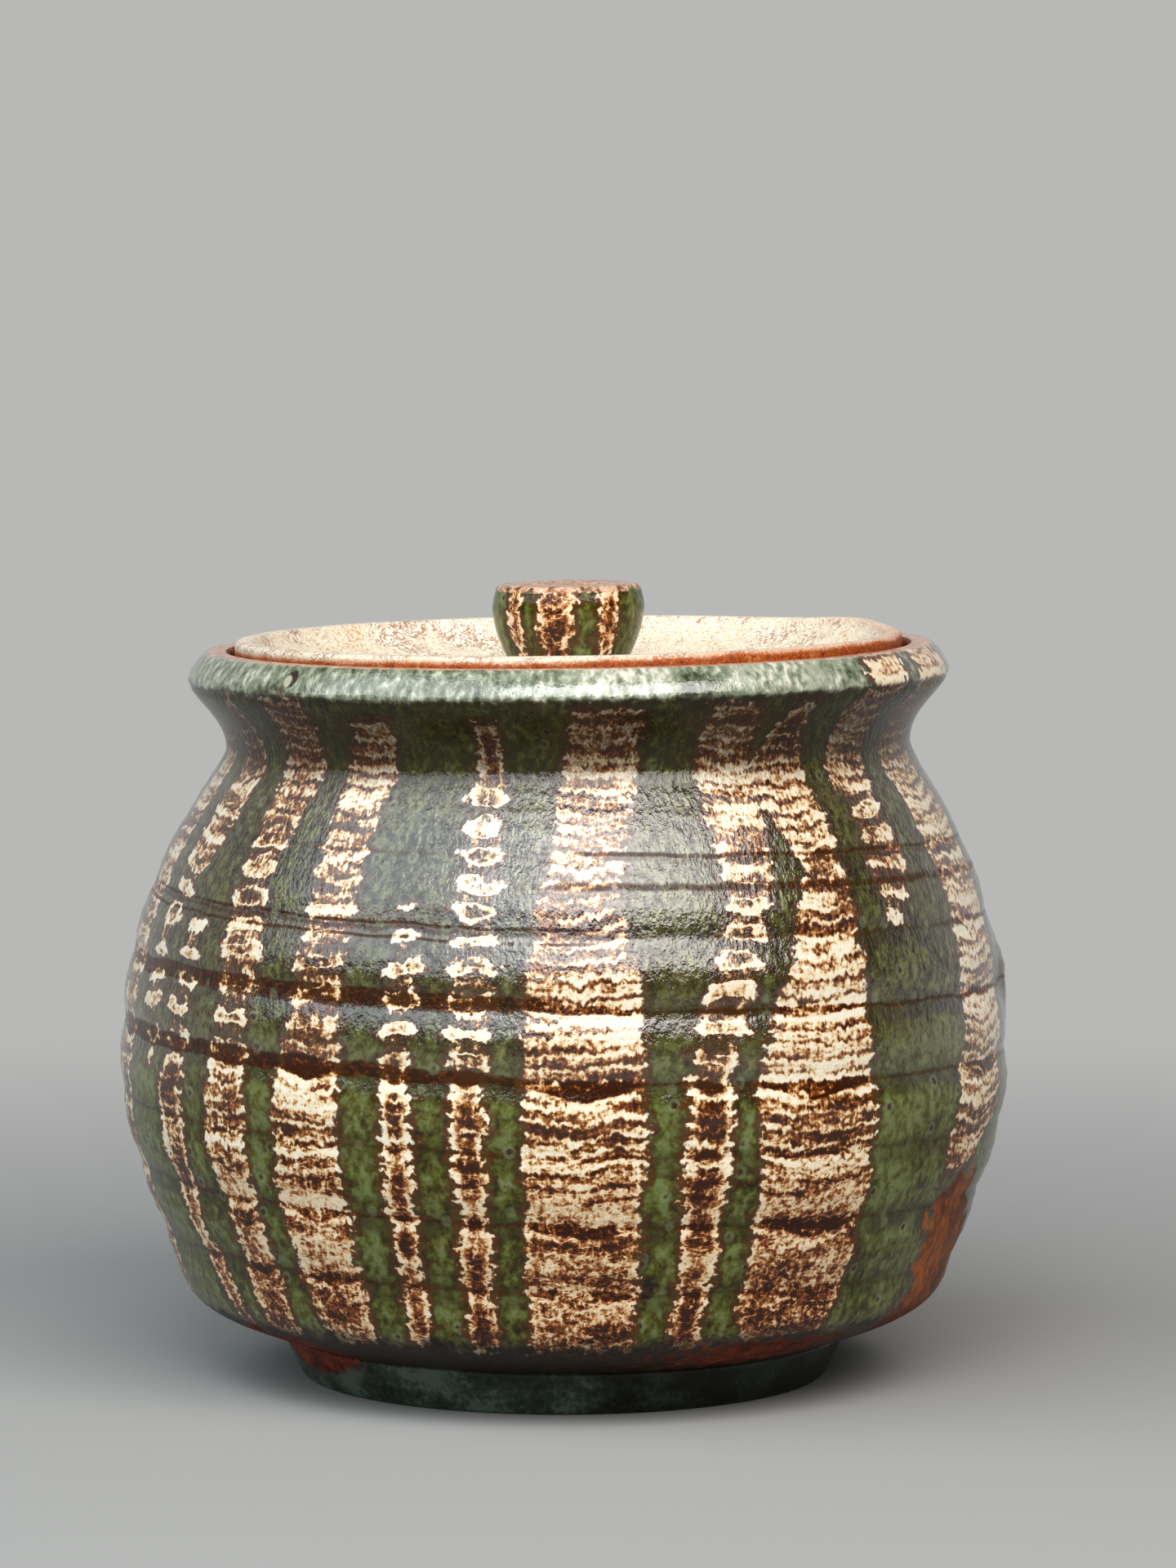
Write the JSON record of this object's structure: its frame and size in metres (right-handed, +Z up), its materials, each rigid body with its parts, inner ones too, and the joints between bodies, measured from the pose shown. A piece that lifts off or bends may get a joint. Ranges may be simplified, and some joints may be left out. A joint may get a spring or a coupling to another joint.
{
  "type": "lidded jar",
  "caption": "Round stoneware jar with a pinched neck, flared rim and foot ring, and a dished lift-off lid with a flared knob that drops onto a ledge inside the rim.",
  "frame": {"origin": "centre of the circle that the foot ring stands on", "axes": "+Z up along the jar's axis, -Y towards the viewer, +X to the viewer's right"},
  "size_m": [0.1498, 0.1498, 0.1337],
  "materials": {
    "striped_glaze": "glossy moss green and broken cream stripes over rust brown",
    "foot_glaze": "satin grey green",
    "bare_clay": "unglazed rust",
    "cream_glaze": "cream with fine brown streaks",
    "knob_glaze": "glossy green and cream stripes over brown"
  },
  "bodies": {
    "pot": {"pot_body": "striped_glaze", "foot_ring": "foot_glaze", "ledge_ring": "bare_clay"},
    "lid": {"lid_dish": "cream_glaze", "lid_knob": "knob_glaze"}
  },
  "joints": [
    {"name": "lid_lift", "type": "slide", "parent": "pot", "child": "lid", "axis": [0, 0, 1], "range_m": [0, 0.08]}
  ]
}
